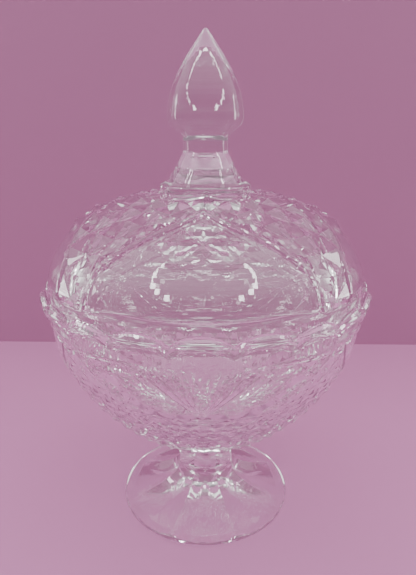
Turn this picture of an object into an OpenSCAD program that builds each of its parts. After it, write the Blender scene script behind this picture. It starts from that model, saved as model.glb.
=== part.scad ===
// Covered candy dish of pressed clear glass, standing on a stem and foot.
// It comes apart into two pieces: the footed bowl, with a scalloped rim, and
// the domed cover with its pointed finial, whose edge sits on a ledge inside
// the rim. Each piece is drawn as the parts that a glassmaker would name.
// The origin is the centre of the foot's underside, +Z runs up the axis, and
// the middle of one of the four arched panels faces -Y.

/* [Foot and stem] */
// Radius of the foot, out to the middle of each lobe
foot_r = 38.1; // [36:0.1:42]
// Height of the foot, up to the start of the stem
foot_h = 16; // [14:0.5:18]
// Thickness of the foot at its edge
foot_edge = 2.6; // [2:0.1:3.5]
// Depth of the hollow under the foot
foot_hollow = 6.5; // [5:0.5:7]
// Radius of the hollow under the foot, at the bottom
foot_hollow_r = 33; // [30:0.5:34]
// Depth of the dips between the eight lobes of the foot's edge
foot_lobe = 0.6; // [0:0.1:1.5]
// Radius of the eight-sided stem, across its corners
stem_r = 12.7; // [11.5:0.1:13.2]

/* [Bowl] */
// Height of the bottom of the bowl, where it leaves the stem
bowl_z = 33; // [30:0.5:36]
// Outer radius of the bowl at its widest
bowl_r = 63.7; // [62.5:0.1:64.5]
// Thickness of the bowl's wall
bowl_wall = 4.2; // [3.5:0.1:4.6]
// Thickness of the glass at the bottom of the bowl
bowl_floor = 8; // [6:0.5:10]
// Number of scallops round the rim
scallops = 20; // [12:4:28]
// Radius of the rim at the top of a scallop
rim_r = 67.3; // [67:0.1:68]
// Height of the dips between the scallops
rim_low = 99.5; // [99:0.1:100.5]
// Height that a scallop rises above the dips
scallop_h = 4; // [2:0.1:5]

/* [Cover] */
// Radius of the cover at its seat inside the rim
cover_r = 62.7; // [62:0.1:62.9]
// Thickness of the cover's wall
cover_wall = 4; // [3.5:0.1:4.5]
// Height of the cover's flat top, where the finial starts
cover_top = 137.9; // [136:0.1:139]
// Radius of the cover's flat top
cover_top_r = 23.5; // [23:0.1:25]
// Gap all round between the cover and the rim
seat_gap = 0.5; // [0.3:0.1:0.8]

/* [Finial] */
// Height of the tip of the finial
finial_top = 199; // [190:0.5:205]
// Half the width of the collar under the finial
collar_w = 18.4; // [17.5:0.1:19.5]
// Half the width of the neck
neck_w = 8.9; // [8.5:0.1:10]
// Half the width of the finial at its widest
finial_w = 14.8; // [14:0.1:17]
// Length of the knob, from its widest to the tip
knob_l = 31; // [29:0.5:32]
// Share of each side that is left between the cut corners
facet = 0.62; // [0.5:0.01:0.75]

/* [Pressed pattern] */
// Height that the ribs round the arched panels stand out
rib_h = 0.8; // [0.5:0.1:1]
// Width of those ribs
rib_w = 2.4; // [1.8:0.1:3]

/* [Hidden] */

fn_round = 96;
steps = 14;               // steps along each curve of a section
foot_sides = 8;           // panels round the foot and the stem
foot_points = 48;         // points round each ring of the foot
panels = 4;               // arched panels round the bowl and the cover
rest_gap = 0.1;           // space under the cover's edge
ledge_depth = 0.9;        // how far the ledge lies below the dips of the rim
bowl_start = 13.6;        // radius of the bowl where it leaves the stem
bowl_h = 60;              // height over which the bowl's walls curve up
cover_band = 7;           // height of the plain band at the cover's edge
cut = 1;                  // how far a cut runs past the face that it opens

ledge_z = rim_low - ledge_depth;
rim_in = cover_r + seat_gap;
rim_top = rim_low + scallop_h;
bowl_in = bowl_r - bowl_wall;
cover_z = ledge_z + rest_gap;

// Inverted arch on the bowl, half of it: distance from the panel's middle, height above the stem
bowl_arch = [[0, 33], [15, 33.5], [25.5, 39.5], [39.4, 56], [40.5, 70]];
// Arch on the cover, half of it: distance from the panel's middle, height above the cover's edge
cover_arch = [[0, -8], [41, -8], [39.8, 7.2], [33.1, 21.3], [29.8, 23.4], [19.6, 29.6], [0, 37.4]];

// A point, and a run of points, on a cubic curve with four control points
function on_curve(p, t) = pow(1 - t, 3) * p[0] + 3 * pow(1 - t, 2) * t * p[1]
    + 3 * (1 - t) * t * t * p[2] + pow(t, 3) * p[3];
function curve(p) = [for (i = [0 : steps]) on_curve(p, i / steps)];

// A square with cut corners, w from its middle to its sides
function cut_square(w) = let (a = facet * w)
    [[w, -a], [w, a], [a, w], [-a, w], [-w, a], [-w, -a], [-a, -w], [a, -w]];

// A closed solid through a stack of rings that have the same number of points
module skin(rings) {
    n = len(rings[0]);
    last = len(rings) - 1;
    walls = [for (k = [0 : last - 1]) for (i = [0 : n - 1])
        let (j = (i + 1) % n) [k * n + i, k * n + j, (k + 1) * n + j, (k + 1) * n + i]];
    bottom = [[for (i = [n - 1 : -1 : 0]) i]];
    top = [[for (i = [0 : n - 1]) last * n + i]];
    polyhedron([for (ring = rings) each ring], concat(bottom, walls, top));
}

// Upright copies of a flat outline on the front, sides and back, running out from the axis
module on_each_panel() {
    for (i = [0 : panels - 1]) rotate(360 / panels * i) rotate([90, 0, 0])
        linear_extrude(rim_r + cut) children();
}

// The line of a rib: the band between an arch and the same arch drawn in
module rib_line(half) {
    arch = concat(half, [for (i = [len(half) - 1 : -1 : 0]) [-half[i].x, half[i].y]]);
    difference() {
        polygon(arch);
        offset(delta = -rib_w) polygon(arch);
    }
}

// A ring of the foot at a height: square is 1 for an octagon and 0 for a circle,
// and dip is how far a round edge draws in between its lobes
function foot_ring(r, z, square, dip = 0) = [for (k = [0 : foot_points - 1])
    let (pitch = 360 / foot_sides, a = k * 360 / foot_points, off = abs(a % pitch - pitch / 2),
        flat = cos(pitch / 2) / cos(off), lobed = r - dip * pow(2 * off / pitch, 2),
        ring_r = square * r * flat + (1 - square) * lobed)
    [ring_r * cos(a - pitch / 2), ring_r * sin(a - pitch / 2), z]];

// A flared skirt that is hollow underneath: the rings run out from the middle
// of the hollow, round the edge and up the flutes to the stem
module foot() {
    hollow_steps = 6;
    middle = 0.2;         // size of the first ring, as a share of a step
    squareness = 0.96;    // at the stem, where the skirt is all but an octagon
    flare = curve([[stem_r, foot_h], [stem_r + 1.6, foot_h - 7.2],
        [stem_r + 7.8, foot_edge + 2.2], [foot_r - 1.2, foot_edge + 0.5]]);
    hollow = [for (i = [0 : hollow_steps]) let (share = max(i, middle) / hollow_steps)
        foot_ring(share * foot_hollow_r, foot_hollow * (1 - share * share), 0)];
    edge = [for (e = [[foot_r - 0.7, 0], [foot_r, 0.8], [foot_r, foot_edge - 0.6]])
        foot_ring(e[0], e[1], 0, foot_lobe)];
    flutes = [for (i = [steps : -1 : 0])
        foot_ring(flare[i][0], flare[i][1], squareness * pow(1 - i / steps, 2), foot_lobe)];
    color("aliceblue") skin(concat(hollow, edge, flutes));
}

// Eight flat sides, lined up with the panels of the foot
module stem() {
    color("aliceblue") translate([0, 0, foot_h]) rotate(180 / foot_sides)
        cylinder(h = bowl_z - foot_h, r = stem_r, $fn = foot_sides);
}

// The outside of the bowl, from the stem to its widest, drawn out by a distance
function bowl_outside(out) = curve([[bowl_start + out, bowl_z], [bowl_start + 21 + out, bowl_z + 2 - out],
    [bowl_r + out, bowl_z + 34 - out], [bowl_r + out, bowl_z + bowl_h]]);

// The inside of the bowl, from its floor up to the ledge
function bowl_inside() = curve([[0, bowl_z + bowl_floor], [36, bowl_z + bowl_floor],
    [bowl_in, bowl_z + 38], [bowl_in, bowl_z + bowl_h]]);

// What is cut away between two scallops: a notch with a round shoulder on each side
module rim_dip() {
    half_pitch = rim_r * sin(180 / scallops);
    shoulder = (half_pitch * half_pitch + scallop_h * scallop_h) / (2 * scallop_h);
    notch = half_pitch - 1.5;
    depth = rim_r - rim_in + 6;
    translate([rim_r + 3 - depth, 0, rim_low]) rotate([90, 0, 90]) linear_extrude(depth) difference() {
        translate([-notch, -cut]) square([2 * notch, scallop_h + 2 * cut]);
        for (side = [-1, 1]) translate([side * half_pitch, scallop_h - shoulder])
            circle(r = shoulder, $fn = fn_round);
    }
}

// Round walls, with the rim flared out over the ledge and then scalloped
module bowl() {
    flared_rim = [[rim_r - 1.6, rim_low - 2], [rim_r - 0.6, rim_low + 0.8], [rim_r, rim_top]];
    color("azure") difference() {
        union() {
            rotate_extrude($fn = fn_round)
                polygon(concat([[0, bowl_z]], bowl_outside(0), flared_rim, [[0, rim_top]]));
            intersection() {
                rotate_extrude($fn = fn_round)
                    polygon(concat([[0, bowl_z]], bowl_outside(rib_h), [[0, bowl_z + bowl_h]]));
                on_each_panel() translate([0, bowl_z]) rib_line(bowl_arch);
            }
        }
        rotate_extrude($fn = fn_round) polygon(concat(bowl_inside(),
            [[bowl_in, ledge_z], [rim_in, ledge_z], [rim_in, rim_top + cut], [0, rim_top + cut]]));
        for (i = [0 : scallops - 1]) rotate(360 / scallops * (i + 0.5) - 90) rim_dip();
    }
}

// The outside of the cover, from its plain band to its flat top, drawn out by a distance
function cover_outside(out) = curve([[cover_r + 1 + out, cover_z + cover_band],
    [cover_r + 1.6 + out, cover_z + 21], [45 + out, cover_top - 1.4 + out], [cover_top_r, cover_top]]);

// The inside of the cover, from its plain band up to the middle
function cover_inside() = curve([[cover_r - cover_wall, cover_z + cover_band],
    [cover_r - cover_wall, cover_z + 19], [40, cover_top - 5.2], [0, cover_top - 4.8]]);

// A dome that is open below, with a rounded edge where it sits in the rim
module cover_dome() {
    round = 0.6;
    edge = [[cover_r - round, cover_z], [cover_r, cover_z + round], [cover_r, cover_z + cover_band - 2]];
    color("azure") difference() {
        union() {
            rotate_extrude($fn = fn_round)
                polygon(concat([[0, cover_z]], edge, cover_outside(0), [[0, cover_top]]));
            intersection() {
                rotate_extrude($fn = fn_round)
                    polygon(concat([[0, cover_z + cover_band]], cover_outside(rib_h), [[0, cover_top]]));
                on_each_panel() translate([0, cover_z]) rib_line(cover_arch);
            }
        }
        rotate_extrude($fn = fn_round)
            polygon(concat([[0, cover_z - cut], [cover_r - cover_wall, cover_z - cut]], cover_inside()));
    }
}

// Collar, sloping shoulder, neck, spreading underside and the pointed knob above it;
// each list gives half the width and the height above the cover's flat top
module finial() {
    h = finial_top - cover_top;
    collar = [[collar_w, 0], [collar_w, 4.3], [collar_w - 0.3, 4.9], [collar_w - 2.6, 6]];
    shoulder = [[neck_w + 3, 11.2], [neck_w + 0.9, 15.6]];
    neck = [[neck_w, 17], [neck_w - 0.2, 21.4], [neck_w, 22.6]];
    underside = [[neck_w + 1.7, 24.8], [finial_w - 1.2, 27], [finial_w - 0.1, 28.9]];
    knob = curve([[finial_w, h - knob_l], [finial_w - 0.2, h - knob_l + 10], [10.2, h - 12.5], [0.6, h]]);
    color("white") translate([0, 0, cover_top])
        skin([for (s = concat(collar, shoulder, neck, underside, knob))
            [for (p = cut_square(s[0])) [p.x, p.y, s[1]]]]);
}

foot();
stem();
bowl();
cover_dome();
finial();
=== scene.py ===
import math

import bpy
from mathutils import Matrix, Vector
from mathutils.geometry import delaunay_2d_cdt


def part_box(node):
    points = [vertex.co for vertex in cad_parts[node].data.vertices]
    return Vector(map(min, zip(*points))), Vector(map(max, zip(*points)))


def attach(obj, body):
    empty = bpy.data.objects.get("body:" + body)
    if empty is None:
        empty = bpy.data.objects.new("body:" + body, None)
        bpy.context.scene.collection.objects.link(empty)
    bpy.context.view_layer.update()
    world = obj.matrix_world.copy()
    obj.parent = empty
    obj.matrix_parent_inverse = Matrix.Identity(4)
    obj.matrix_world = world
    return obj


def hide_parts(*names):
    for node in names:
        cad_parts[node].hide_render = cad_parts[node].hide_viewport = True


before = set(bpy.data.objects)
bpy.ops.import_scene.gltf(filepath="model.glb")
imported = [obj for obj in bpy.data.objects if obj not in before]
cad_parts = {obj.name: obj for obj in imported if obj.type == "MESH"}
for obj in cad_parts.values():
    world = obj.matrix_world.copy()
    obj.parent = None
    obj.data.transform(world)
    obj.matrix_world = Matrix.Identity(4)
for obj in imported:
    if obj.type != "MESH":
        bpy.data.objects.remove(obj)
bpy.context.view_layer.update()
print("frame loaded:", ", ".join(sorted(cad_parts)))

mm = 0.001
halfQuarter = math.radians(45)
gridColumns = 60                  # upright grid lines in a quarter of the dish
pole = 0.001 * mm                 # radius of the ring that closes at the axis
weld = 0.004 * mm
planRadius = 60 * mm              # times an angle, a length in the plan while it is cut into triangles
samePlace = 2e-6                  # points of the plan closer than this are one
leastArea = 1e-14
nearArch = 1.5 * mm               # a pattern's line this close to an arch is kept, even inside it
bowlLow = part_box("bowl")[0]
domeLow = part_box("cover_dome")[0]
finialLow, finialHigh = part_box("finial")


def addNode(tree, kind, inputs=None, **settings):
    # an input is named or numbered, and takes a value or another node's output
    node = tree.nodes.new(kind)
    for name, value in settings.items():
        setattr(node, name, value)
    for key, value in (inputs or {}).items():
        sockets = [s for s in node.inputs if s.name == key and s.enabled] or [node.inputs[key]]
        if isinstance(value, bpy.types.NodeSocket):
            tree.links.new(value, sockets[0])
        else:
            sockets[0].default_value = value
    return node


def hexToLinear(code):
    parts = [int(code[i:i + 2], 16) / 255 for i in (1, 3, 5)]
    return [p / 12.92 if p <= 0.04045 else ((p + 0.055) / 1.055) ** 2.4 for p in parts] + [1]


def moved(points, r, z):
    # points in millimetres, counted from a radius and a height in metres
    return [(r + a * mm, z + b * mm) for a, b in points]


def onCurve(points, t):
    # a point on a cubic curve with four control points
    share = [(1 - t) ** 3, 3 * (1 - t) ** 2 * t, 3 * (1 - t) * t * t, t ** 3]
    return tuple(sum(s * p[axis] for s, p in zip(share, points)) for axis in (0, 1))


def curvePoints(points, steps):
    return [onCurve(points, i / steps) for i in range(steps + 1)]


def smoothStep(low, high, x):
    t = min(1.0, max(0.0, (x - low) / (high - low)))
    return t * t * (3 - 2 * t)


def mix(a, b, share):
    return a + (b - a) * share


def cutSquare(angle, face, crispness):
    # reach of a square with cut corners at an angle, when its sides are 1 from the middle
    # and face is half the width of a side; a low crispness rounds its edges
    total = 0.0
    for i in range(8):
        away = (1 + face) / math.sqrt(2) if i % 2 else 1.0
        total += max(0.0, math.cos(angle - i * math.pi / 4) / away) ** crispness
    return total ** (-1 / crispness)


def evenSided(angle, sides):
    # the same for an even-sided shape whose corners are 1 from the middle, with a side in front
    step = 2 * math.pi / sides
    return math.cos(step / 2) / math.cos((angle + step / 2) % step - step / 2)


# A piece is wrapped from a flat plan of one quarter of it: x is the angle round the dish,
# y falls as the length along the section grows, and z is how far the surface is raised.
# Then swell multiplies a point's radius, and drop lowers it.

def newPlan(section):
    lengths = [0.0]
    for a, b in zip(section, section[1:]):
        lengths.append(lengths[-1] + math.dist(a, b))
    return {"section": section, "lengths": lengths, "points": [], "faces": [],
            "flat": [], "swell": [], "drop": []}


def radiusAt(plan, along):
    lengths = plan["lengths"]
    low, high = 0, len(lengths) - 1
    while high - low > 1:
        middle = (low + high) // 2
        if lengths[middle] <= along:
            low = middle
        else:
            high = middle
    share = (along - lengths[low]) / (lengths[high] - lengths[low])
    return mix(plan["section"][low][0], plan["section"][high][0], share)


def alongAtHeight(plan, first, last, height):
    # length along the section, between two of its points, where it passes a height
    for i in range(first, last):
        a, b = plan["section"][i][1], plan["section"][i + 1][1]
        if (a - height) * (b - height) <= 0 and a != b:
            return mix(plan["lengths"][i], plan["lengths"][i + 1], (height - a) / (b - a))
    raise ValueError(f"the section doesn't pass {height}")


def addPoint(plan, angle, along, raised, swell=1.0, drop=0.0):
    plan["points"].append((angle, -along, raised))
    plan["swell"].append(swell)
    plan["drop"].append(drop)
    return len(plan["points"]) - 1


def gridAngle(column):
    return halfQuarter * (2 * column / gridColumns - 1)


def addRings(plan, first, last, swell=None, drop=None, raised=None):
    # a plain grid between two points of the section
    rows = []
    for i in range(first, last + 1):
        along = plan["lengths"][i]
        row = []
        for column in range(gridColumns + 1):
            angle = gridAngle(column)
            row.append(addPoint(plan, angle, along, raised(angle, along) if raised else 0.0,
                                swell(angle, i) if swell else 1.0, drop(angle, i) if drop else 0.0))
        rows.append(row)
    for upper, lower in zip(rows, rows[1:]):
        for column in range(gridColumns):
            plan["faces"].append((lower[column], lower[column + 1], upper[column + 1], upper[column]))
            plan["flat"].append(False)


def addPattern(plan, first, last, lines, loosePoints, raised, isFacet):
    # triangles between two points of the section, with edges along the pattern's lines
    top, bottom = plan["lengths"][first], plan["lengths"][last]
    spots, edges = [], []
    for along in (top, bottom):
        start = len(spots)
        spots += [Vector((gridAngle(column) * planRadius, -along)) for column in range(gridColumns + 1)]
        edges += [(start + i, start + i + 1) for i in range(gridColumns)]
    spots += [Vector((angle * planRadius, -along)) for angle, along in loosePoints]
    for side in (-halfQuarter, halfQuarter):
        lines = lines + [[(side, top), (side, bottom)]]
    for line in lines:
        start = len(spots)
        spots += [Vector((angle * planRadius, -along)) for angle, along in line]
        edges += [(start + i, start + i + 1) for i in range(len(line) - 1)]
    found, _, faces, _, _, _ = delaunay_2d_cdt(spots, edges, [], 0, samePlace)
    base = len(plan["points"])
    for spot in found:
        angle, along = spot.x / planRadius, -spot.y
        addPoint(plan, angle, along, raised(angle, along))
    for face in faces:
        corners = [found[i] for i in face]
        area = sum(a.x * b.y - b.x * a.y for a, b in zip(corners, corners[1:] + corners[:1])) / 2
        if abs(area) < leastArea:
            continue
        plan["faces"].append(tuple(base + i for i in (face if area > 0 else face[::-1])))
        middle = sum(corners, Vector((0, 0))) / len(corners)
        plan["flat"].append(isFacet(middle.x / planRadius, -middle.y))


def cutLine(a, b, top, bottom):
    # the stretch of a line that lies between two lengths along the section
    if a[1] > b[1]:
        a, b = b, a
    if b[1] <= top + 1e-9 or a[1] >= bottom - 1e-9:
        return None
    ends = []
    for point, other in ((a, b), (b, a)):
        limit = min(max(point[1], top), bottom)
        share = (limit - point[1]) / (other[1] - point[1]) if other[1] != point[1] else 0
        ends.append((mix(point[0], other[0], share), limit))
    return ends


def diamondLines(pitch, rowZero, rowStep, rows, top, bottom):
    # edges and ridges of rows of pyramids; where row and column are both even or both odd,
    # corners meet, and elsewhere a pyramid has its tip
    columns = round(halfQuarter / pitch)
    kept = []
    for row in rows:
        for column in range(-columns - 1, columns + 2):
            if (row + column) % 2 == 0:
                continue
            along = rowZero + row * rowStep
            middle = (column * pitch, along)
            corners = [(column * pitch, along - rowStep), ((column + 1) * pitch, along),
                       (column * pitch, along + rowStep), ((column - 1) * pitch, along)]
            for i in range(4):
                for a, b in ((middle, corners[i]), (corners[i], corners[(i + 1) % 4])):
                    line = cutLine(a, b, top, bottom)
                    if line and max(abs(p[0]) for p in line) <= halfQuarter + 1e-6:
                        kept.append(line)
    return kept


def pyramid(angle, along, pitch, rowZero, rowStep):
    # 1 at the tip of a pyramid and 0 along the edges of its base
    u, v = angle / pitch, (along - rowZero) / rowStep
    column, row = math.floor(u), math.floor(v)
    best = 0.0
    for c in (column, column + 1):
        for r in (row, row + 1):
            if (c + r) % 2:
                best = max(best, 1 - abs(u - c) - abs(v - r))
    return best


def toLine(x, y, line):
    # distance from a point to a broken line
    best = 1e9
    for (ax, ay), (bx, by) in zip(line, line[1:]):
        dx, dy = bx - ax, by - ay
        t = min(1.0, max(0.0, ((x - ax) * dx + (y - ay) * dy) / (dx * dx + dy * dy)))
        best = min(best, math.hypot(x - ax - t * dx, y - ay - t * dy))
    return best


def besideLine(line, offset):
    # the same broken line moved sideways
    moved = []
    for i, (x, y) in enumerate(line):
        ax, ay = line[max(i - 1, 0)]
        bx, by = line[min(i + 1, len(line) - 1)]
        length = math.hypot(bx - ax, by - ay)
        moved.append((x + (by - ay) / length * offset, y - (bx - ax) / length * offset))
    return moved


def lineAt(x, line):
    # height of a broken line whose x only grows
    for (ax, ay), (bx, by) in zip(line, line[1:]):
        if ax <= x <= bx and bx > ax:
            return mix(ay, by, (x - ax) / (bx - ax))
    return line[0][1] if x < line[0][0] else line[-1][1]


def roundedLine(points, cuts):
    # a broken line with its corners cut off again and again, ends kept
    for _ in range(cuts):
        out = [points[0]]
        for a, b in zip(points, points[1:]):
            out += [(mix(a[0], b[0], share), mix(a[1], b[1], share)) for share in (0.25, 0.75)]
        points = out + [points[-1]]
    return points


def flatHalf(plan, first, last, points):
    # half an arch, from its foot to its top, laid flat: across from the middle and along the section
    half = [(math.radians(a), alongAtHeight(plan, first, last, z * mm)) for a, z in points]
    return [(a * radiusAt(plan, s), s) for a, s in half]


def mirrored(half):
    return [(-x, y) for x, y in half] + [(x, y) for x, y in half[-2::-1]]


wrapInputs = {"Plan": "Geometry", "Section": "Object", "Quarters": "Int", "Weld": "Float",
              "Glass": "Material"}


def makeWrapTree():
    tree = bpy.data.node_groups.new("wrapRoundTheDish", "GeometryNodeTree")
    for name, kind in wrapInputs.items():
        tree.interface.new_socket(name, in_out="INPUT", socket_type="NodeSocket" + kind)
    tree.interface.new_socket("Piece", in_out="OUTPUT", socket_type="NodeSocketGeometry")
    given = addNode(tree, "NodeGroupInput").outputs
    # each point goes to its length along the section, and out from it by its height in the plan
    position = addNode(tree, "GeometryNodeInputPosition").outputs[0]
    spot = addNode(tree, "ShaderNodeSeparateXYZ", {0: position}).outputs
    along = addNode(tree, "ShaderNodeMath", {0: spot["Y"], 1: -1.0}, operation="MULTIPLY").outputs[0]
    section = addNode(tree, "GeometryNodeObjectInfo", {"Object": given["Section"]}).outputs["Geometry"]
    sample = addNode(tree, "GeometryNodeSampleCurve", {"Curves": section, "Length": along},
                     mode="LENGTH", use_all_curves=True).outputs
    tangent = addNode(tree, "ShaderNodeSeparateXYZ", {0: sample["Tangent"]}).outputs
    inward = addNode(tree, "ShaderNodeMath", {0: tangent["Z"], 1: -1.0}, operation="MULTIPLY").outputs[0]
    outwards = addNode(tree, "ShaderNodeCombineXYZ", {"X": inward, "Z": tangent["X"]}).outputs[0]
    lifted = addNode(tree, "ShaderNodeVectorMath", {0: outwards, "Scale": spot["Z"]},
                     operation="SCALE").outputs[0]
    place = addNode(tree, "ShaderNodeVectorMath", {0: sample["Position"], 1: lifted},
                    operation="ADD").outputs[0]
    flat = addNode(tree, "ShaderNodeSeparateXYZ", {0: place}).outputs
    swell = addNode(tree, "GeometryNodeInputNamedAttribute", {"Name": "swell"},
                    data_type="FLOAT").outputs["Attribute"]
    drop = addNode(tree, "GeometryNodeInputNamedAttribute", {"Name": "drop"},
                   data_type="FLOAT").outputs["Attribute"]
    radius = addNode(tree, "ShaderNodeMath", {0: flat["X"], 1: swell}, operation="MULTIPLY").outputs[0]
    height = addNode(tree, "ShaderNodeMath", {0: flat["Z"], 1: drop}, operation="SUBTRACT").outputs[0]
    # and is then turned round the axis by its angle, from the front
    sine = addNode(tree, "ShaderNodeMath", {0: spot["X"]}, operation="SINE").outputs[0]
    cosine = addNode(tree, "ShaderNodeMath", {0: spot["X"]}, operation="COSINE").outputs[0]
    x = addNode(tree, "ShaderNodeMath", {0: radius, 1: sine}, operation="MULTIPLY").outputs[0]
    depth = addNode(tree, "ShaderNodeMath", {0: radius, 1: cosine}, operation="MULTIPLY").outputs[0]
    y = addNode(tree, "ShaderNodeMath", {0: depth, 1: -1.0}, operation="MULTIPLY").outputs[0]
    turned = addNode(tree, "ShaderNodeCombineXYZ", {"X": x, "Y": y, "Z": height}).outputs[0]
    wrapped = addNode(tree, "GeometryNodeSetPosition",
                      {"Geometry": given["Plan"], "Position": turned}).outputs[0]
    # the quarter is repeated round the axis and welded into one closed skin
    turns = addNode(tree, "GeometryNodePoints", {"Count": given["Quarters"]}).outputs[0]
    step = addNode(tree, "ShaderNodeMath", {0: 2 * math.pi, 1: given["Quarters"]},
                   operation="DIVIDE").outputs[0]
    index = addNode(tree, "GeometryNodeInputIndex").outputs[0]
    turn = addNode(tree, "ShaderNodeMath", {0: index, 1: step}, operation="MULTIPLY").outputs[0]
    rotation = addNode(tree, "ShaderNodeCombineXYZ", {"Z": turn}).outputs[0]
    copies = addNode(tree, "GeometryNodeInstanceOnPoints",
                     {"Points": turns, "Instance": wrapped, "Rotation": rotation}).outputs[0]
    real = addNode(tree, "GeometryNodeRealizeInstances", {"Geometry": copies}).outputs[0]
    welded = addNode(tree, "GeometryNodeMergeByDistance",
                     {"Geometry": real, "Distance": given["Weld"]}).outputs[0]
    done = addNode(tree, "GeometryNodeSetMaterial",
                   {"Geometry": welded, "Material": given["Glass"]}).outputs[0]
    addNode(tree, "NodeGroupOutput", {0: done})
    return tree


def wrapPiece(plan, name, material):
    curve = bpy.data.curves.new(name + "Section", "CURVE")
    curve.dimensions = "3D"
    spline = curve.splines.new("POLY")
    spline.points.add(len(plan["section"]) - 1)
    for point, (r, z) in zip(spline.points, plan["section"]):
        point.co = (r, 0, z, 1)
    guide = bpy.data.objects.new(name + "Section", curve)
    mesh = bpy.data.meshes.new(name + "Plan")
    mesh.from_pydata(plan["points"], [], plan["faces"])
    for title in ("swell", "drop"):
        mesh.attributes.new(title, "FLOAT", "POINT").data.foreach_set("value", plan[title])
    mesh.attributes.new("sharp_face", "BOOLEAN", "FACE").data.foreach_set("value", plan["flat"])
    sheet = bpy.data.objects.new(name + "Plan", mesh)
    for helper in (guide, sheet):
        bpy.context.scene.collection.objects.link(helper)
    wrap = sheet.modifiers.new("wrap", "NODES")
    wrap.node_group = wrapTree
    chosen = {"Section": guide, "Quarters": 4, "Weld": weld, "Glass": material}
    for item in wrapTree.interface.items_tree:
        if item.name in chosen:
            wrap[item.identifier] = chosen[item.name]
    bpy.context.view_layer.update()
    result = bpy.data.meshes.new_from_object(sheet.evaluated_get(bpy.context.evaluated_depsgraph_get()))
    result.name = name
    piece = bpy.data.objects.new(name, result)
    bpy.context.scene.collection.objects.link(piece)
    for helper in (guide, sheet):
        bpy.data.objects.remove(helper)
    used = {}
    for poly in result.polygons:
        for key in poly.edge_keys:
            used[key] = used.get(key, 0) + 1
    openEdges = sum(1 for n in used.values() if n != 2)
    print(name, "wrapped:", len(result.polygons), "faces,", openEdges, "open edges")
    return piece


wrapTree = makeWrapTree()


# Clear pressed soda-lime glass, fire polished after it left the mould: bright and colourless,
# with faint waves in the gloss and a trace of grey-green where it is thick.
glassLook = {
    "tint": "#fdfefd",
    "ior": 1.52,
    "roughLow": 0.0,
    "roughHigh": 0.03,
    "roughFrom": 0.45,              # share of a wave's height where the gloss starts to dull
    "roughTo": 0.75,
    "waveSize": 9 * mm,             # from crest to crest of the faint waves that the mould leaves
    "waveDetail": 2.0,
    "waveRoughness": 0.4,
    "waveHeight": 0.004 * mm,
    "absorbColour": "#e6efe9",
    "absorbPerMetre": 6.0,
    "mostReflections": 2.5,         # light thrown back more often than this goes straight on
    "mostTurns": 8.5,               # and so does light that has met more surfaces than this
}


def pressedGlass(name):
    material = bpy.data.materials.new(name)
    material.use_nodes = True
    tree = material.node_tree
    tree.nodes.clear()
    place = addNode(tree, "ShaderNodeTexCoord").outputs["Object"]
    waves = addNode(tree, "ShaderNodeTexNoise", {
        "Vector": place, "Scale": 1 / glassLook["waveSize"], "Detail": glassLook["waveDetail"],
        "Roughness": glassLook["waveRoughness"]}).outputs["Fac"]
    rough = addNode(tree, "ShaderNodeMapRange", {
        "Value": waves, "From Min": glassLook["roughFrom"], "From Max": glassLook["roughTo"],
        "To Min": glassLook["roughLow"], "To Max": glassLook["roughHigh"]})
    bump = addNode(tree, "ShaderNodeBump",
                   {"Height": waves, "Strength": 1.0, "Distance": glassLook["waveHeight"]})
    glass = addNode(tree, "ShaderNodeBsdfPrincipled", {
        "Base Color": hexToLinear(glassLook["tint"]), "Transmission Weight": 1.0, "IOR": glassLook["ior"],
        "Roughness": rough.outputs[0], "Normal": bump.outputs[0]})
    inside = addNode(tree, "ShaderNodeVolumeAbsorption", {
        "Color": hexToLinear(glassLook["absorbColour"]), "Density": glassLook["absorbPerMetre"]})
    # light from a lamp, or light that has already been thrown about inside the glass, goes straight on
    path = addNode(tree, "ShaderNodeLightPath").outputs
    thrown = addNode(tree, "ShaderNodeMath", {0: path["Glossy Depth"], 1: glassLook["mostReflections"]},
                     operation="GREATER_THAN").outputs[0]
    long = addNode(tree, "ShaderNodeMath", {0: path["Ray Depth"], 1: glassLook["mostTurns"]},
                   operation="GREATER_THAN").outputs[0]
    spent = addNode(tree, "ShaderNodeMath", {0: thrown, 1: long}, operation="MAXIMUM").outputs[0]
    straight = addNode(tree, "ShaderNodeMath", {0: spent, 1: path["Is Shadow Ray"]},
                       operation="MAXIMUM").outputs[0]
    clear = addNode(tree, "ShaderNodeBsdfTransparent").outputs[0]
    either = addNode(tree, "ShaderNodeMixShader", {0: straight, 1: glass.outputs[0], 2: clear}).outputs[0]
    addNode(tree, "ShaderNodeOutputMaterial", {"Surface": either, "Volume": inside.outputs[0]})
    return material


coverGlass = pressedGlass("clearPressedGlassCover")
bowlGlass = pressedGlass("clearPressedGlassBowl")
print("glass mixed")


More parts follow.
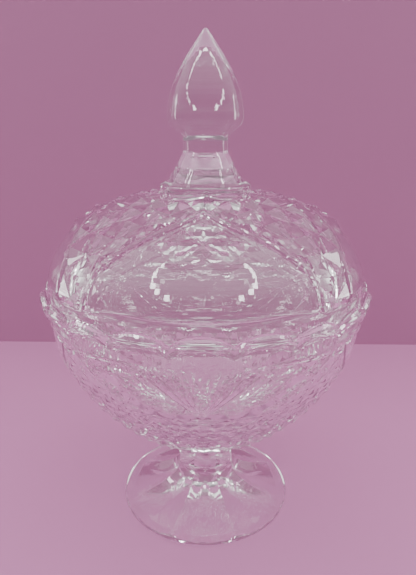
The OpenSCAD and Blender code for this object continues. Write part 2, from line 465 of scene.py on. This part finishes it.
# Lists of points are in millimetres; the arch and the knob give an angle in degrees and a height.
cover = {
    "seat": 62.7 * mm,              # radius of the plain band that drops into the rim
    "wall": 4.0 * mm,
    "topRadius": 23.5 * mm,
    "finial": [(0.6, 0), (10.2, -12.5), (14.6, -21), (14.8, -31)],       # a curve, from the tip
    "neck": [(14.7, 28.9), (13.6, 27), (10.6, 24.8), (8.9, 22.6), (8.7, 21.4), (8.9, 17), (9.8, 15.6),
             (11.9, 11.2), (15.8, 6), (18.1, 4.9), (18.4, 4.3), (18.4, 0.3)],     # above the dome
    "face": 0.62,                   # half the width of the finial's four broad sides, as a share
    "neckFace": 0.7,
    "crispness": 7,                 # of the finial's edges
    "pitch": math.radians(9),       # half the width of a pyramid's base, as an angle
    "rowStep": 7.9 * mm,            # half its height
    "rowZero": 135.3 * mm,          # height of the row that holds the top corners of the panels
    "pyramid": 1.7 * mm,
    "bevel": 0.7 * mm,
    "cluster": [(0, 1), (-1, 2), (1, 2), (0, 3)],   # columns and rows of four in each arched panel
    "clusterPyramid": 2.4 * mm,     # they stand out more
    "clusterCut": 2.1 * mm,         # cut off the lowest of them
    "clusterEnd": 0.74,             # half the width of its cut end, in pitches
    "rib": 1.1 * mm,
    "ribHalf": 1.25 * mm,
    "arch": [(38.4, 105.9), (36.9, 114.5), (35, 120.1), (32, 122.3), (23.5, 128.4), (11, 132.8),
             (0, 136.0)],
    "knob": (33.4, 121.3),
    "knobHeight": 1.2 * mm,
    "knobRadius": 2.1 * mm,
    "pendant": 0.6 * mm,            # soft ridge that hangs from the pyramids into the clear panel
    "pendantHalf": 5.8 * mm,
    "pendantLength": 15 * mm,
    "baseLine": 105.9 * mm,
    "pointStep": 1.7 * mm,          # between the points of the clear panel
}


def joined(parts):
    # one section from its named parts, and the first and last point of each
    section, spans = [], {}
    for name, points in parts.items():
        spans[name] = (len(section), len(section) + len(points) - 1)
        section += points
    return section, spans


def coverSection():
    tip, top = finialHigh.z, finialLow.z
    seat, wall, edgeZ = cover["seat"], cover["wall"], domeLow.z
    edge = moved([(0, 5), (0, 0.6), (-0.2, 0.2), (-0.6, 0)], seat, edgeZ)
    edge += [(2 * seat - wall - r, z) for r, z in edge[:0:-1]]
    return joined({
        "knob": [(pole, tip)] + curvePoints(moved(cover["finial"], 0, tip), 16),
        "neck": moved(cover["neck"], 0, top),
        "shoulder": [(18.45 * mm, top), (cover["topRadius"], top)],
        "outside": curvePoints([(cover["topRadius"] + 0.2 * mm, top), (45 * mm, top - 1.4 * mm),
                                (seat + 1.6 * mm, edgeZ + 21 * mm), (seat + 1 * mm, edgeZ + 7 * mm)], 40),
        "edge": edge,
        "inside": curvePoints([(seat - wall, edgeZ + 7 * mm), (seat - wall, edgeZ + 19 * mm),
                               (40 * mm, top - 5.2 * mm), (pole, top - 4.8 * mm)], 30)})


def makeCover():
    section, spans = coverSection()
    plan = newPlan(section)
    first, last = spans["outside"]
    pitch, rowStep = cover["pitch"], cover["rowStep"]
    rowZero = alongAtHeight(plan, first, last, cover["rowZero"])
    top = plan["lengths"][first] + cover["bevel"]
    bottom = alongAtHeight(plan, first, last, cover["baseLine"]) - cover["bevel"]
    half = flatHalf(plan, first, last, cover["arch"])
    half[0] = (half[0][0], bottom + cover["bevel"])
    half = roundedLine(half, 1)
    arch = mirrored(half)
    knobAlong = alongAtHeight(plan, first, last, cover["knob"][1] * mm)
    knobX = math.radians(cover["knob"][0]) * radiusAt(plan, knobAlong)
    clusterEnd = rowZero + 3 * rowStep - cover["clusterCut"]
    ribEnd = cover["ribHalf"] + cover["bevel"]

    def flatX(angle, along):
        return angle * radiusAt(plan, along)

    def insideArch(x, along):
        return abs(x) <= half[0][0] and along > lineAt(x, arch)

    def isClear(angle, along):
        x = flatX(angle, along)
        return insideArch(x, along) and toLine(x, along, arch) > nearArch

    def nearCluster(angle, along, reach):
        u, v = angle / pitch, (along - rowZero) / rowStep
        return any(abs(u - c) + abs(v - r) < reach for c, r in cover["cluster"])

    def inCluster(angle, along):
        return along < clusterEnd and nearCluster(angle, along, 1)

    def raised(angle, along):
        x = flatX(angle, along)
        gap = toLine(x, along, arch)
        height = 0.0
        fade = max(0.0, min(1.0, (along - plan["lengths"][first]) / cover["bevel"],
                            (bottom + cover["bevel"] - along) / cover["bevel"]))
        if gap <= cover["ribHalf"]:
            height = cover["rib"] * math.sqrt(max(0.0, 1 - (gap / cover["ribHalf"]) ** 2)) * fade
        elif not insideArch(x, along):
            height = cover["pyramid"] * pyramid(angle, along, pitch, rowZero, rowStep)
            height *= fade * min(1.0, (gap - cover["ribHalf"]) / cover["bevel"])
        elif inCluster(angle, along):
            height = cover["clusterPyramid"] * pyramid(angle, along, pitch, rowZero, rowStep)
            height *= min(1.0, (gap - cover["ribHalf"]) / cover["bevel"])
        elif along >= clusterEnd - 1e-6:
            reach = abs(x) / cover["pendantHalf"]
            hang = 1 - smoothStep(clusterEnd, clusterEnd + cover["pendantLength"], along)
            if reach < 1:
                height = cover["pendant"] * math.cos(reach * math.pi / 2) ** 2 * hang
        knobGap = math.hypot(abs(x) - knobX, along - knobAlong) / cover["knobRadius"]
        if knobGap < 1:
            height = max(height, cover["knobHeight"] * math.sqrt(1 - knobGap ** 2))
        return height

    def isFacet(angle, along):
        x = flatX(angle, along)
        gap = toLine(x, along, arch)
        if gap < ribEnd or along < top or along > bottom:
            return False
        if math.hypot(abs(x) - knobX, along - knobAlong) < cover["knobRadius"] + 0.2 * mm:
            return False
        return inCluster(angle, along) or not insideArch(x, along)

    lines = []
    for a, b in diamondLines(pitch, rowZero, rowStep, range(-3, 8), top, bottom):
        # the clear panel has no lines, except those of its cluster
        middle = ((a[0] + b[0]) / 2, (a[1] + b[1]) / 2)
        ofCluster = nearCluster(*middle, 1.01) and max(a[1], b[1]) < clusterEnd + rowStep
        if ofCluster or not all(isClear(*point) for point in (a, middle, b)):
            lines.append([a, b])
    cutEnd = pitch * cover["clusterEnd"]
    for reach, along in ((halfQuarter, top), (halfQuarter, bottom), (cutEnd, clusterEnd)):
        lines.append([(-reach, along), (reach, along)])
    ribShifts = [share * cover["ribHalf"] for share in (-1, -0.85, -0.5, 0, 0.5, 0.85, 1)]
    for shift in [-ribEnd] + ribShifts + [ribEnd]:
        side = [(x, min(s, bottom + cover["bevel"])) for x, s in besideLine(arch, shift)]
        side = [(x / radiusAt(plan, s), s) for x, s in side if abs(x / radiusAt(plan, s)) < halfQuarter]
        lines.append(side)
    loose = []
    rows = int((bottom - top) / cover["pointStep"])
    for i in range(1, rows):
        along = mix(top, bottom, i / rows)
        for column in range(2, gridColumns - 1):
            angle = gridAngle(column)
            x = flatX(angle, along)
            clearOfRib = toLine(x, along, arch) > ribEnd + 0.5 * mm
            if insideArch(x, along) and clearOfRib and not inCluster(angle, along):
                loose.append((angle, along))
    # rings of points let the two knobs round out
    for side in (-1, 1):
        for share in (0.35, 0.7, 0.92, 1.05):
            for i in range(10):
                turn = 2 * math.pi * i / 10 * side
                s = knobAlong + share * cover["knobRadius"] * math.sin(turn)
                ringX = knobX + share * cover["knobRadius"] * math.cos(turn)
                loose.append((side * ringX / radiusAt(plan, s), s))
        loose.append((side * knobX / radiusAt(plan, knobAlong), knobAlong))

    neckStart = spans["neck"][0]

    def finialSwell(angle, i):
        if i > spans["shoulder"][0]:
            return 1.0
        face = cover["neckFace"] if neckStart + 3 <= i <= neckStart + 7 else cover["face"]
        return cutSquare(angle, face, cover["crispness"])

    addRings(plan, 0, first, swell=finialSwell)
    addPattern(plan, first, last, lines, loose, raised, isFacet)
    addRings(plan, last, len(section) - 1)
    piece = wrapPiece(plan, "glassCover", coverGlass)
    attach(piece, "cover")
    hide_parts("cover_dome", "finial")


makeCover()
print("cover made")


# Lists of points are in millimetres; the arch gives an angle in degrees and a height.
bowl = {
    "footRadius": 38.1 * mm,
    "footEdge": [(-0.2, 1.9), (0, 1.5), (-0.1, 0.6), (-0.7, 0.05), (-1.5, 0), (-4.5, 0), (-5.1, 0.15)],
    "hollow": 4.6 * mm,             # height of the hollow under the foot
    "stemRadius": 12.7 * mm,        # to the corners of the eight-sided stem
    "sides": 8,
    "flute": 2.8 * mm,              # depth of the eight hollows of the foot
    # along a ridge of the foot, and on past the edge so that the flat panels run out under it
    "flare": [(12.7, 16), (14.4, 9.6), (21.5, 6.2), (41, 1.6)],
    "lip": 1.1,                     # rise of the bevel at the foot's edge for each mm inwards
    "lipStart": 1.5 * mm,
    "floor": 8 * mm,                # thickness of the glass at the bottom of the bowl
    "insideRadius": 59.5 * mm,
    "pitch": math.radians(4.5),
    "rowStep": 4.1 * mm,
    "rowZero": 60 * mm,
    "pyramid": 0.65 * mm,
    "bevel": 0.5 * mm,
    "patternTop": 96.0 * mm,
    "diamondTop": 91.0 * mm,
    "patternBottom": 38.0 * mm,
    "arch": [(39.5, 95.5), (38.6, 88.5), (33.5, 80.5), (25.5, 72.6), (15.5, 67.0), (7, 66.4), (0, 68.2)],
    "border": 4.6 * mm,             # smooth band inside the arch
    "band": 0.6 * mm,               # how far that band stands out
    "fanMiddle": 71.5 * mm,
    "fanBlades": 21,
    "fan": 0.8 * mm,
    "fanFull": 20 * mm,             # distance from its middle where a blade is at its full height
    "fanTop": 92.0 * mm,
    "fanFade": 3 * mm,
    "pointStep": 1.8 * mm,          # between the points of the plain glass
    "scallops": 20,
    "scallopHeight": 4.0 * mm,
    "lobeWidth": 20.8 * mm,
    "dipIn": 0.019,                 # how far the rim draws in at the dips, as a share of its radius
    # across the ledge, over the round rim and down its outside; the third number is how much of
    # the scallops' rise and fall a point takes
    "rim": [(59.5, 98.0, 0), (59.8, 98.5, 0), (60.3, 98.6, 0), (62.7, 98.6, 0), (63.1, 98.7, 0.02),
            (63.25, 99.2, 0.1), (63.4, 101.6, 0.6), (63.8, 102.7, 0.88), (64.6, 103.35, 0.97),
            (65.5, 103.5, 1), (66.4, 103.2, 1), (67.05, 102.4, 1), (67.3, 101.4, 1), (67.1, 100.4, 1),
            (66.5, 99.5, 0.97), (65.7, 98.7, 0.86), (65.0, 97.8, 0.65), (64.5, 96.9, 0.42)],
}


footFlare = moved(bowl["flare"], 0, 0)


def bowlSection():
    z, reach = bowlLow.z, bowl["insideRadius"]
    base = moved(bowl["footEdge"], bowl["footRadius"], 0)
    hollowR, hollowZ = base[-1]
    hollow = []
    for i in range(1, 12):
        t = math.pi / 2 * (1 - i / 12)
        hollow.append((hollowR * math.sin(t), bowl["hollow"] * math.cos(t) ** 2 + hollowZ))
    return joined({
        "inside": curvePoints([(pole, z + bowl["floor"]), (36 * mm, z + bowl["floor"]),
                               (reach, z + 38 * mm), (reach, z + 60 * mm)], 30),
        "rim": moved([(r, h) for r, h, _ in bowl["rim"]], 0, 0),
        "outside": curvePoints([(64.2 * mm, 96.3 * mm), (64.0 * mm, z + 34 * mm),
                                (34.6 * mm, z + 2 * mm), (13.6 * mm, z + 0.2 * mm)], 44),
        "stem": moved([(0.2, 32.6), (0, 32.2), (0, 28), (0, 22), (0, 16.6)], bowl["stemRadius"], 0),
        "flare": curvePoints(footFlare, 18),
        "base": base,
        "hollow": hollow + [(pole, hollowZ + bowl["hollow"])]})


def makeBowl():
    section, spans = bowlSection()
    plan = newPlan(section)
    first, last = spans["outside"]
    pitch, rowStep = bowl["pitch"], bowl["rowStep"]
    top = alongAtHeight(plan, first, last, bowl["patternTop"])
    bottom = alongAtHeight(plan, first, last, bowl["patternBottom"])
    rowZero = alongAtHeight(plan, first, last, bowl["rowZero"])
    half = roundedLine(flatHalf(plan, first, last, bowl["arch"]), 1)
    arch = mirrored(half)
    fanAlong = alongAtHeight(plan, first, last, bowl["fanMiddle"])
    fanTop = alongAtHeight(plan, first, last, bowl["fanTop"])
    diamondTop = alongAtHeight(plan, first, last, bowl["diamondTop"])

    def flatX(angle, along):
        return angle * radiusAt(plan, along)

    def insideArch(x, along):
        return abs(x) < half[0][0] and along < lineAt(x, arch)

    def isClear(angle, along):
        x = flatX(angle, along)
        return insideArch(x, along) and toLine(x, along, arch) > nearArch

    def raised(angle, along):
        x = flatX(angle, along)
        gap = toLine(x, along, arch)
        fade = max(0.0, min(1.0, (along - diamondTop) / bowl["bevel"], (bottom - along) / bowl["bevel"]))
        if not insideArch(x, along):
            height = bowl["pyramid"] * pyramid(angle, along, pitch, rowZero, rowStep)
            return height * min(1.0, gap / bowl["bevel"]) * fade
        field = min(1.0, max(0.0, gap - bowl["border"]) / bowl["bevel"])
        if field == 0:
            edge = min(1.0, gap / bowl["bevel"], (bowl["border"] - gap) / bowl["bevel"])
            return bowl["band"] * max(0.0, edge) * max(0.0, min(1.0, (along - diamondTop) / bowl["bevel"]))
        away = math.hypot(x, along - fanAlong)
        turn = math.atan2(fanAlong - along, x) / math.pi * bowl["fanBlades"]
        blade = 1 - abs((turn % 1) * 2 - 1)
        fade = max(0.0, min(1.0, (along - fanTop) / bowl["fanFade"]))
        return bowl["fan"] * blade * min(1.0, away / bowl["fanFull"]) * field * fade

    def isFacet(angle, along):
        x = flatX(angle, along)
        gap = toLine(x, along, arch)
        if insideArch(x, along):
            return gap > bowl["border"] + bowl["bevel"] and along > fanTop + 1 * mm
        return gap > bowl["bevel"] and diamondTop + bowl["bevel"] < along < bottom - bowl["bevel"]

    lines = diamondLines(pitch, rowZero, rowStep, range(-12, 12), diamondTop + bowl["bevel"],
                         bottom - bowl["bevel"])
    lines = [[a, b] for a, b in lines if not (isClear(*a) and isClear(*b))]
    for along in (diamondTop, diamondTop + bowl["bevel"], bottom - bowl["bevel"]):
        lines.append([(-halfQuarter, along), (halfQuarter, along)])
    for shift in (0, -bowl["bevel"], bowl["bevel"], bowl["border"] - bowl["bevel"], bowl["border"],
                  bowl["border"] + bowl["bevel"]):
        side = [(x / radiusAt(plan, s), s) for x, s in besideLine(arch, -shift)]
        lines.append([(angle, s) for angle, s in side if abs(angle) < halfQuarter and s > top + 0.3 * mm])
    # the blades of the fan, each with an edge on either side
    for i in range(1, 2 * bowl["fanBlades"]):
        turn = math.pi * i / 2 / bowl["fanBlades"]
        ray = []
        for step in range(60):
            away = (1.2 + step * 0.8) * mm
            x, s = away * math.cos(turn), fanAlong - away * math.sin(turn)
            if s < fanTop or not insideArch(x, s) or toLine(x, s, arch) < bowl["border"]:
                break
            ray.append((x, s))
        if len(ray) > 1:
            ray = ray[:-1:4] + [ray[-1]]
            lines.append([(x / radiusAt(plan, s), s) for x, s in ray])
    loose = []
    rows = int((bottom - top) / bowl["pointStep"])
    for i in range(1, rows):
        along = mix(top, bottom, i / rows)
        for column in range(1, gridColumns):
            angle = gridAngle(column)
            x = flatX(angle, along)
            gap = toLine(x, along, arch)
            smooth = insideArch(x, along) and 0.5 * mm < gap < bowl["border"] - 0.5 * mm
            if smooth or along < diamondTop - 0.5 * mm or (along < fanTop and insideArch(x, along)):
                loose.append((angle, along))

    rimFirst, rimLast = spans["rim"]
    lobeRadius = ((bowl["lobeWidth"] / 2) ** 2 + bowl["scallopHeight"] ** 2) / (2 * bowl["scallopHeight"])

    def scallopShape(angle):
        pitchAngle = 2 * math.pi / bowl["scallops"]
        off = abs((angle + pitchAngle / 2) % pitchAngle - pitchAngle / 2) / (pitchAngle / 2)
        reach = off * bowl["lobeWidth"] / 2
        return lobeRadius - math.sqrt(lobeRadius ** 2 - reach ** 2)

    def rimDropAt(angle, i):
        if rimFirst <= i <= rimLast:
            return scallopShape(angle) * bowl["rim"][i - rimFirst][2]
        return 0.0

    def rimSwell(angle, i):
        if rimFirst + 7 <= i <= rimLast:
            share = min(1, (i - rimFirst - 6) / 4) * min(1, (rimLast - i) / 4)
            return 1 - bowl["dipIn"] * scallopShape(angle) / bowl["scallopHeight"] * share
        return 1.0

    stemStart, stemEnd = spans["stem"]
    flareStart, flareEnd = spans["flare"]

    def footPoint(angle, i):
        # radius and height of the foot's skin where a section point is turned to an angle
        r, z = section[i]
        reach = evenSided(angle, bowl["sides"])
        if stemStart <= i <= stemEnd:
            return r * reach, z
        if not flareStart <= i <= flareEnd:
            return r, z
        # where this stretch of the flare runs into the bevel at the edge
        low, high = 0.5, 1.0
        for _ in range(30):
            middle = (low + high) / 2
            flareR, flareZ = onCurve(footFlare, middle)
            if flareZ < bowl["lipStart"] + (bowl["footRadius"] - flareR * reach) * bowl["lip"]:
                low = middle
            else:
                high = middle
        share = (i - flareStart) / (flareEnd - flareStart)
        flareR, flareZ = onCurve(footFlare, share * low)
        return flareR * reach, flareZ

    def footSwell(angle, i):
        return footPoint(angle, i)[0] / section[i][0]

    def footDrop(angle, i):
        return section[i][1] - footPoint(angle, i)[1]

    flareLow, flareHigh = plan["lengths"][flareStart], plan["lengths"][flareEnd]

    def fluted(angle, along):
        share = (along - flareLow) / (flareHigh - flareLow)
        if not 0 < share < 1:
            return 0.0
        return -bowl["flute"] * math.sin(math.pi * share) * abs(math.cos(angle * bowl["sides"] / 2))

    addRings(plan, 0, first, swell=rimSwell, drop=rimDropAt)
    addPattern(plan, first, last, lines, loose, raised, isFacet)
    addRings(plan, last, len(section) - 1, swell=footSwell, drop=footDrop, raised=fluted)
    piece = wrapPiece(plan, "footedBowl", bowlGlass)
    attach(piece, "footed_bowl")
    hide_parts("foot", "stem", "bowl")


makeBowl()
print("footed bowl made")


# A pink paper floor and a mauve paper wall behind it, in a room that is bright overhead.
studio = {
    "floor": "#a1678e",
    "wall": "#9d6789",
    "wallBehind": 174 * mm,
    "halfWidth": 420 * mm,
    "front": 330 * mm,
    "wallHeight": 520 * mm,
    "ground": -0.15 * mm,           # a hair under the foot's ring, as the paper's nap lets it sit
    "roomDim": "#75606e",
    "roomBright": "#f2eef1",
    "roomLean": 0.6,                # how much brighter the room is behind the dish than in front
    "roomDimAt": -0.2,
    "roomBrightAt": 0.6,
    "roomStrength": 2.0,
}
# Soft boxes: places and sizes in metres. Those that aren't mirrored light only the paper.
softBoxes = {
    "softBoxLeft": {"place": (-0.55, -0.05, 0.25), "aim": (0, 0, 0.1), "size": (0.08, 0.3),
                    "watts": 1.0, "mirrored": True},
    "softBoxRight": {"place": (0.55, -0.05, 0.25), "aim": (0, 0, 0.1), "size": (0.08, 0.3),
                     "watts": 1.0, "mirrored": True},
    "softBoxFloor": {"place": (0, -0.1, 1.2), "aim": (0, -0.1, 0), "size": (1.2, 1.2),
                     "watts": 10.0, "mirrored": False},
    "softBoxWall": {"place": (0, -0.9, 0.5), "aim": (0, 0.17, 0.2), "size": (1.0, 0.6),
                    "watts": 2.5, "mirrored": False},
    "softBoxBack": {"place": (0, 0.13, 0.55), "aim": (0, 0.13, 0), "size": (0.8, 0.1),
                    "watts": 1.2, "mirrored": False},
}
# A ring of lamps behind a diffuser, as one thin glowing hoop that only the glass shows.
ringLamp = {
    "place": (0, -0.24, 0.38),
    "aim": (0, 0, 0.12),
    "radius": 0.2,
    "thickness": 0.006,
    "strength": 40.0,
}
view = {
    "distance": 204.7 * mm,         # from the axis of the dish
    "height": 160.7 * mm,
    "down": math.radians(16.70),
    "aside": math.radians(1.18),
    "lens": 31.45,
    "shift": 0.0042,
}


def matt(name, colour, bothSides):
    # paper with a dull face; one that isn't seen from both sides is see-through from its back
    material = bpy.data.materials.new(name)
    material.use_nodes = True
    tree = material.node_tree
    shader = tree.nodes["Principled BSDF"]
    shader.inputs["Base Color"].default_value = hexToLinear(colour)
    shader.inputs["Roughness"].default_value = 0.9
    shader.inputs["Specular IOR Level"].default_value = 0.15
    if not bothSides:
        back = addNode(tree, "ShaderNodeNewGeometry").outputs["Backfacing"]
        clear = addNode(tree, "ShaderNodeBsdfTransparent").outputs[0]
        either = addNode(tree, "ShaderNodeMixShader", {0: back, 1: shader.outputs[0], 2: clear}).outputs[0]
        tree.links.new(either, tree.nodes["Material Output"].inputs["Surface"])
    return material


def layPaper(name, corners, material):
    mesh = bpy.data.meshes.new(name)
    mesh.from_pydata(corners, [], [(0, 1, 2, 3)])
    mesh.materials.append(material)
    sheet = bpy.data.objects.new(name, mesh)
    bpy.context.scene.collection.objects.link(sheet)


def aimed(place, aim):
    return (Vector(aim) - Vector(place)).to_track_quat("-Z", "Y").to_euler()


def hangSoftBox(name, box):
    lamp = bpy.data.lights.new(name, "AREA")
    lamp.shape = "RECTANGLE"
    lamp.size, lamp.size_y = box["size"]
    lamp.energy = box["watts"]
    holder = bpy.data.objects.new(name, lamp)
    holder.location = box["place"]
    holder.rotation_euler = aimed(box["place"], box["aim"])
    holder.visible_glossy = box["mirrored"]
    holder.visible_transmission = box["mirrored"]
    bpy.context.scene.collection.objects.link(holder)


def hangRing():
    bpy.ops.mesh.primitive_torus_add(major_radius=ringLamp["radius"], minor_radius=ringLamp["thickness"],
                                     major_segments=96, minor_segments=10)
    hoop = bpy.context.object
    hoop.name = "ringLamp"
    hoop.location = ringLamp["place"]
    hoop.rotation_euler = aimed(ringLamp["place"], ringLamp["aim"])
    hoop.visible_camera = False
    hoop.visible_diffuse = False
    material = bpy.data.materials.new("ringLampDiffuser")
    material.use_nodes = True
    tree = material.node_tree
    tree.nodes.clear()
    glow = addNode(tree, "ShaderNodeEmission", {"Color": (1, 1, 1, 1), "Strength": ringLamp["strength"]})
    addNode(tree, "ShaderNodeOutputMaterial", {"Surface": glow.outputs[0]})
    hoop.data.materials.append(material)


def makeRoom():
    # bright overhead, dim towards the front
    world = bpy.data.worlds.new("room")
    bpy.context.scene.world = world
    world.use_nodes = True
    tree = world.node_tree
    tree.nodes.clear()
    way = addNode(tree, "ShaderNodeTexCoord").outputs["Generated"]
    ray = addNode(tree, "ShaderNodeSeparateXYZ", {0: way}).outputs
    lean = addNode(tree, "ShaderNodeMath", {0: ray["Y"], 1: studio["roomLean"], 2: ray["Z"]},
                   operation="MULTIPLY_ADD").outputs[0]
    fade = addNode(tree, "ShaderNodeMapRange", {
        "Value": lean, "From Min": studio["roomDimAt"], "From Max": studio["roomBrightAt"]},
        interpolation_type="SMOOTHSTEP").outputs[0]
    tone = addNode(tree, "ShaderNodeMix", {
        "Factor": fade, "A": hexToLinear(studio["roomDim"]), "B": hexToLinear(studio["roomBright"])},
        data_type="RGBA").outputs[2]
    glow = addNode(tree, "ShaderNodeBackground", {"Color": tone, "Strength": studio["roomStrength"]})
    addNode(tree, "ShaderNodeOutputWorld", {"Surface": glow.outputs[0]})


def placeCamera():
    lens = bpy.data.cameras.new("camera")
    lens.lens = view["lens"]
    lens.shift_x = view["shift"]
    lens.clip_start = 10 * mm
    camera = bpy.data.objects.new("camera", lens)
    camera.location = (view["distance"] * math.sin(view["aside"]),
                       -view["distance"] * math.cos(view["aside"]), view["height"])
    camera.rotation_euler = (math.pi / 2 - view["down"], 0, view["aside"])
    bpy.context.scene.collection.objects.link(camera)
    bpy.context.scene.camera = camera


wide, behind, front = studio["halfWidth"], studio["wallBehind"], studio["front"]
ground, tall = studio["ground"], studio["wallHeight"]
layPaper("paperFloor",
         [(-wide, -front, ground), (wide, -front, ground), (wide, behind, ground), (-wide, behind, ground)],
         matt("pinkPaperFloor", studio["floor"], bothSides=True))
# the wall shows from the front only, so that the dish can be seen from behind it
layPaper("paperWall",
         [(-wide, behind, ground), (wide, behind, ground), (wide, behind, tall), (-wide, behind, tall)],
         matt("mauvePaperWall", studio["wall"], bothSides=False))
print("paper laid")
for boxName, box in softBoxes.items():
    hangSoftBox(boxName, box)
hangRing()
makeRoom()
placeCamera()
print("studio lit")
